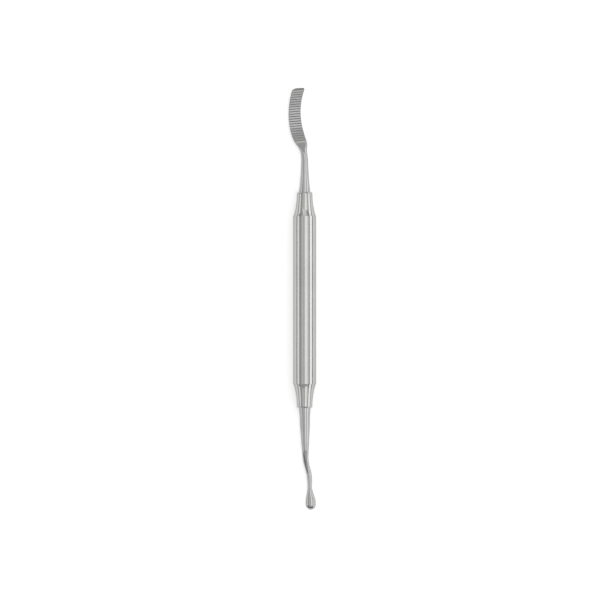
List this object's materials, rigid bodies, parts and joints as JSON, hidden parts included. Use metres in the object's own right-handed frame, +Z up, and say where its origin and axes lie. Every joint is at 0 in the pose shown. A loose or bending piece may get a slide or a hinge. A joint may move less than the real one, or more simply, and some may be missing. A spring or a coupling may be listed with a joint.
{
  "type": "bone file",
  "caption": "Double-ended bone file: hollow round handle, long crescent file with cross-cut teeth at one end, small drop-shaped file at the other.",
  "frame": {"origin": "on the handle's axis, half way along its tube", "axes": "+Y along the handle towards the long file, +Z up with the long file's toothed face up, +X to the right of the handle seen from above; the surface it lies on is at Z = -0.00476"},
  "size_m": [0.0115, 0.1749, 0.0096],
  "materials": {
    "handle_steel": "satin",
    "file_steel": "satin"
  },
  "bodies": {
    "root": {"handle_tube": "handle_steel", "end_cone_long": "handle_steel", "end_cone_small": "handle_steel", "long_file": "file_steel", "small_file": "file_steel"}
  },
  "joints": []
}
